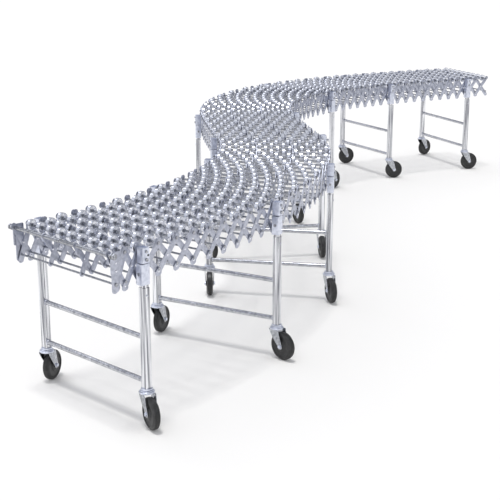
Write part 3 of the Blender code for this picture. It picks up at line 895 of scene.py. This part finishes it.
def fork_plate(side):
    """A fork's side plate, drawn down from the head and narrowed to its rounded foot."""
    top = STAND_BOTTOM - HEAD_HEIGHT + 0.002
    fall = CASTER_RADIUS - top
    levels = []
    for step in (0.0, 0.2, 0.4, 0.6, 0.8, 1.0):
        back = FORK_HEAD_BACK + (CASTER_TRAIL + FOOT_RADIUS - FORK_HEAD_BACK) * step
        front = FORK_HEAD_FRONT + (CASTER_TRAIL - FOOT_RADIUS - FORK_HEAD_FRONT) * step ** 1.25
        levels.append((front, back, top + fall * step))
    for angle in (30, 60, 85):
        reach = FOOT_RADIUS * math.cos(math.radians(angle))
        drop = FOOT_RADIUS * math.sin(math.radians(angle))
        levels.append((CASTER_TRAIL - reach, CASTER_TRAIL + reach, CASTER_RADIUS - drop))
    bpy.ops.mesh.primitive_plane_add(size=1)
    piece = bpy.context.object
    alone(piece)
    shape = bmesh.from_edit_mesh(piece.data)
    bmesh.ops.delete(shape, geom=list(shape.verts), context="VERTS")
    last = None
    for front, back, height in levels:
        lean = FORK_SPREAD * (height - CASTER_RADIUS) / -fall
        out = side * (HUB_LENGTH / 2 + SEAT_GAP + max(lean, 0) + PLATE_GAP)
        pair = [shape.verts.new((front, out, height)), shape.verts.new((back, out, height))]
        if last:
            shape.faces.new((last[0], last[1], pair[1], pair[0]))
        last = pair
    bmesh.update_edit_mesh(piece.data)
    alone(piece)
    bpy.ops.mesh.normals_make_consistent(inside=False)
    bpy.ops.object.mode_set(mode="OBJECT")
    thicken = piece.modifiers.new("sheet", "SOLIDIFY")
    thicken.thickness = FORK_SHEET
    facing = sum(face.normal.y for face in piece.data.polygons)
    thicken.offset = 1 if facing * side > 0 else -1
    rounding = piece.modifiers.new("edges", "BEVEL")
    rounding.width = FORK_EDGE
    rounding.segments = 2
    rounding.limit_method = "ANGLE"
    for modifier in (thicken, rounding):
        bpy.ops.object.modifier_apply(modifier=modifier.name)
    done(piece)
    piece.data.materials.append(fork_zinc_with_painted_shade)
    return piece


HEAD_MIDDLE = STAND_BOTTOM - SEAT_GAP - HEAD_HEIGHT + 0.0046
RACE_MIDDLE = STAND_BOTTOM - SEAT_GAP - 0.0028
BOLT_OUT = HUB_LENGTH / 2 + SEAT_GAP + FORK_SHEET + 0.0028
head = turned(
    "swivel_head", sides=28, radius=HEAD_RADIUS, width=0.0055,
    steps=((0.0012, HEAD_RADIUS - 0.0022), (0.0006, HEAD_RADIUS - 0.006)), axis="Z")
head.data.materials.append(bracket_zinc)
race = turned(
    "ball_race", sides=24, radius=HEAD_RADIUS - 0.005, width=0.0034,
    steps=((0.0009, HEAD_RADIUS - 0.007),), axis="Z")
race.data.materials.append(bracket_zinc)
pin_nut = turned(
    "axle_bolt", sides=6, radius=0.0085, width=0.005, steps=((0.0009, 0.0074),), smooth_below=20)
pin_nut.data.materials.append(bracket_zinc)
pin = turned("axle_pin", sides=10, radius=PIN_RADIUS, width=HUB_LENGTH + 2 * FORK_SHEET, steps=())
pin.data.materials.append(rod_zinc_with_painted_shade)
plates = [fork_plate(side) for side in (1, -1)]
fork = joined_as("fork_pattern", [
    set_out("head", head, [move(z=HEAD_MIDDLE)]),
    set_out("race", race, [move(z=RACE_MIDDLE)]),
    set_out("bolts", pin_nut, [
        move(CASTER_TRAIL, side * BOLT_OUT, CASTER_RADIUS) for side in (1, -1)]),
    set_out("pin", pin, [move(CASTER_TRAIL, 0, CASTER_RADIUS)])] + plates)
put_away(head, race, pin_nut, pin)


def fork_frame(number, side_name):
    """Frame of a caster: its swivel on the floor and +X the way in which its wheel trails."""
    swivel = Vector(joints["swivel_%d_%s" % (number, side_name)]["pos_m"])
    low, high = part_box("wheel_%d_%s" % (number, side_name))
    to_wheel = (low + high) / 2 - swivel
    heading = math.atan2(to_wheel.y, to_wheel.x)
    return Matrix.Translation((swivel.x, swivel.y, 0)) @ Matrix.Rotation(heading, 4, "Z")


for number in range(1, LEG_SETS + 1):
    for side_name in ("left", "right"):
        tail = "%d_%s" % (number, side_name)
        piece = set_out("caster_fork_" + tail, fork, [fork_frame(number, side_name)])
        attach(piece, "fork_" + tail)
        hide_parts("fork_" + tail)
put_away(fork)

# Caster wheels
# Tyre, dished centre and hub are one black moulding, with four grooves round its tread. The hub turns
# on the fork's bolt.
TYRE_SIDES = 40
TREAD_MIDDLE = 0.006
DUST_PER_METRE = 60.0
# Moulded rubber is dark grey with a low shine. A film of dust, in patches of about 17 mm, dulls it
# unevenly.
rubber = bpy.data.materials.new("moulded_black_rubber")
rubber.use_nodes = True
tree = rubber.node_tree
shader = tree.nodes["Principled BSDF"]
spot = node(tree, "ShaderNodeTexCoord")
dust = node(tree, "ShaderNodeTexNoise", Vector=spot.outputs["Object"], Scale=DUST_PER_METRE, Detail=4.0)
tone = node(tree, "ShaderNodeValToRGB", Fac=dust.outputs[0])
for stop, share, colour in zip(tone.color_ramp.elements, (0.35, 0.70), ("#262626", "#3A3A3A")):
    stop.position = share
    stop.color = linear(colour)
skin_bump = node(tree, "ShaderNodeBump", Height=dust.outputs[0], Strength=0.3, Distance=0.0004)
tree.links.new(tone.outputs[0], shader.inputs["Base Color"])
tree.links.new(skin_bump.outputs[0], shader.inputs["Normal"])
shader.inputs["Roughness"].default_value = 0.42
shader.inputs["IOR"].default_value = 1.5
rim = CASTER_RADIUS
tyre = turned("tyre_pattern", TYRE_SIDES, rim, TREAD_MIDDLE, (
    (0.0, rim - 0.0018), (0.0012, rim - 0.0018), (0.0, rim - 0.0004), (0.0035, rim - 0.0006),
    (0.0, rim - 0.0024), (0.0012, rim - 0.0024), (0.0, rim - 0.0012), (0.0030, rim - 0.0045),
    (0.0041, rim - 0.0125), (0.0, rim - 0.0140), (-0.0030, rim - 0.0155), (-0.0010, rim * 0.42),
    (0.0030, rim * 0.36), (0.0020, 0.0125), (0.0020, 0.0110)), smooth_below=35)
tyre.data.materials.append(rubber)
for number in range(1, LEG_SETS + 1):
    for side_name in ("left", "right"):
        tail = "%d_%s" % (number, side_name)
        place = fork_frame(number, side_name) @ move(CASTER_TRAIL, 0, CASTER_RADIUS)
        piece = set_out("caster_wheel_" + tail, tyre, [place])
        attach(piece, "wheel_" + tail)
        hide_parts("wheel_" + tail)
put_away(nut, rivet, bolt, tyre)
